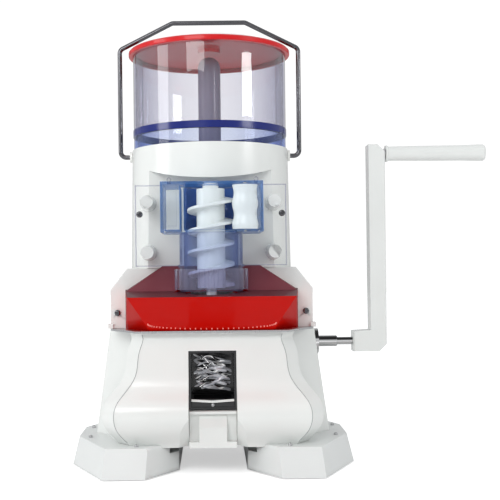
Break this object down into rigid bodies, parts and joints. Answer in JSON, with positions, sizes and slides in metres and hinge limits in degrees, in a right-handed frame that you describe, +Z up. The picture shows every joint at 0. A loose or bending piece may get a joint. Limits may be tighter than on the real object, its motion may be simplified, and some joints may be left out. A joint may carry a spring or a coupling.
{
  "type": "shaved ice machine",
  "caption": "Hand-cranked shaved ice machine with a clear round hopper, auger feed box, red guard hood, toothed cutter ring and white bell-shaped base on two feet.",
  "frame": {"origin": "centre of the drain hole in the base plate's underside, on the machine's upright axis, 28 mm above the floor", "axes": "+Z up along the upright axis, front faces -Y, crank side is +X"},
  "size_m": [0.45, 0.241, 0.4775],
  "materials": {
    "white_plastic": "glossy moulded plastic",
    "foot_plastic": "satin moulded plastic",
    "rubber_pad": "matt rubber",
    "steel": "brushed steel",
    "dark_steel": "dark polished steel",
    "chrome": "mirror chrome",
    "bronze": "turned bronze",
    "black_plastic": "gloss black plastic",
    "red_clear": "translucent red plastic",
    "lid_red": "translucent red plastic",
    "cap_white": "glossy moulded plastic",
    "ring_red": "satin red plastic",
    "clear": "clear polished plastic",
    "clear_violet": "violet tinted clear plastic",
    "clear_blue": "blue tinted clear plastic",
    "blue_box": "blue translucent plastic",
    "navy": "navy plastic ring",
    "frosted": "frosted plastic",
    "nylon": "satin white nylon"
  },
  "bodies": {
    "frame": {"base_housing": "white_plastic", "front_shell": "white_plastic", "lower_panel": "white_plastic", "foot_left": "foot_plastic", "foot_right": "foot_plastic", "foot_pads": "rubber_pad", "foot_screws": "steel", "rear_cover": "white_plastic", "rear_cover_screws": "steel", "base_plate": "steel", "bay_liner": "black_plastic", "deck_plate": "steel", "shoulder_cover": "white_plastic", "shoulder_screws": "dark_steel", "red_hood": "red_clear", "column_shell": "white_plastic", "hopper_base": "clear_blue", "navy_ring": "navy", "hopper_cylinder": "clear", "centre_post": "frosted", "bail_bushes": "nylon", "plate_standoffs": "white_plastic", "feed_plate": "clear", "plate_screws": "dark_steel", "feed_box": "blue_box", "box_pins": "clear", "feed_tube": "clear_blue", "roller_pin": "steel", "auger_bracket": "steel", "idler_pin": "steel", "upper_bridge": "steel", "upper_bearing": "bronze", "gear_bracket": "steel", "lower_bearing": "bronze", "inner_bushing": "bronze", "crank_bushing": "chrome"},
    "lid": {"lid": "lid_red", "lid_cap": "cap_white"},
    "bail": {"bail_handle": "dark_steel"},
    "crank": {"crank_shaft": "chrome", "crank_bevel": "steel", "crank_arm": "white_plastic", "set_screw": "steel", "grip_spindle": "steel"},
    "grip": {"crank_grip": "white_plastic", "grip_cap": "white_plastic"},
    "rotor": {"cutter_ring": "ring_red", "cutter_blades": "chrome", "blade_screws": "steel", "upright_shaft": "steel", "upright_bevel": "steel", "drive_gear": "nylon"},
    "idler": {"idler_gear": "nylon"},
    "auger": {"auger": "nylon", "auger_gear": "nylon"},
    "roller": {"roller": "nylon"},
    "collar_nut": {"collar_nut": "clear_violet"},
    "tray": {"ice_tray": "black_plastic", "tray_edge": "white_plastic", "tray_screw": "steel"}
  },
  "joints": [
    {"name": "crank_spin", "type": "hinge", "parent": "frame", "child": "crank", "pos_m": [0, 0, 0.096], "axis": [1, 0, 0], "continuous": true},
    {"name": "grip_spin", "type": "hinge", "parent": "crank", "child": "grip", "pos_m": [0.24, 0, 0.301], "axis": [1, 0, 0], "continuous": true},
    {"name": "rotor_spin", "type": "hinge", "parent": "frame", "child": "rotor", "pos_m": [0, 0, 0.096], "axis": [0, 0, 1], "continuous": true},
    {"name": "idler_spin", "type": "hinge", "parent": "frame", "child": "idler", "pos_m": [0, -0.056, 0.144], "axis": [0, 0, 1], "continuous": true},
    {"name": "auger_spin", "type": "hinge", "parent": "frame", "child": "auger", "pos_m": [0, -0.102, 0.144], "axis": [0, 0, 1], "continuous": true},
    {"name": "roller_spin", "type": "hinge", "parent": "frame", "child": "roller", "pos_m": [0.0336, -0.1164, 0.237], "axis": [0, 0, 1], "continuous": true},
    {"name": "collar_turn", "type": "hinge", "parent": "frame", "child": "collar_nut", "pos_m": [0, -0.102, 0.167], "axis": [0, 0, 1], "range_deg": [0, 60]},
    {"name": "bail_swing", "type": "hinge", "parent": "frame", "child": "bail", "pos_m": [0, 0, 0.3], "axis": [1, 0, 0], "range_deg": [-90, 90]},
    {"name": "lid_lift", "type": "slide", "parent": "frame", "child": "lid", "axis": [0, 0, 1], "range_m": [0, 0.005]},
    {"name": "tray_slide", "type": "slide", "parent": "frame", "child": "tray", "axis": [0, -1, 0], "range_m": [0, 0.045]}
  ],
  "couplings": [
    {"joint": "crank_spin", "follows": "rotor_spin", "ratio": 1},
    {"joint": "idler_spin", "follows": "rotor_spin", "ratio": -0.86667},
    {"joint": "auger_spin", "follows": "rotor_spin", "ratio": 1.625}
  ]
}
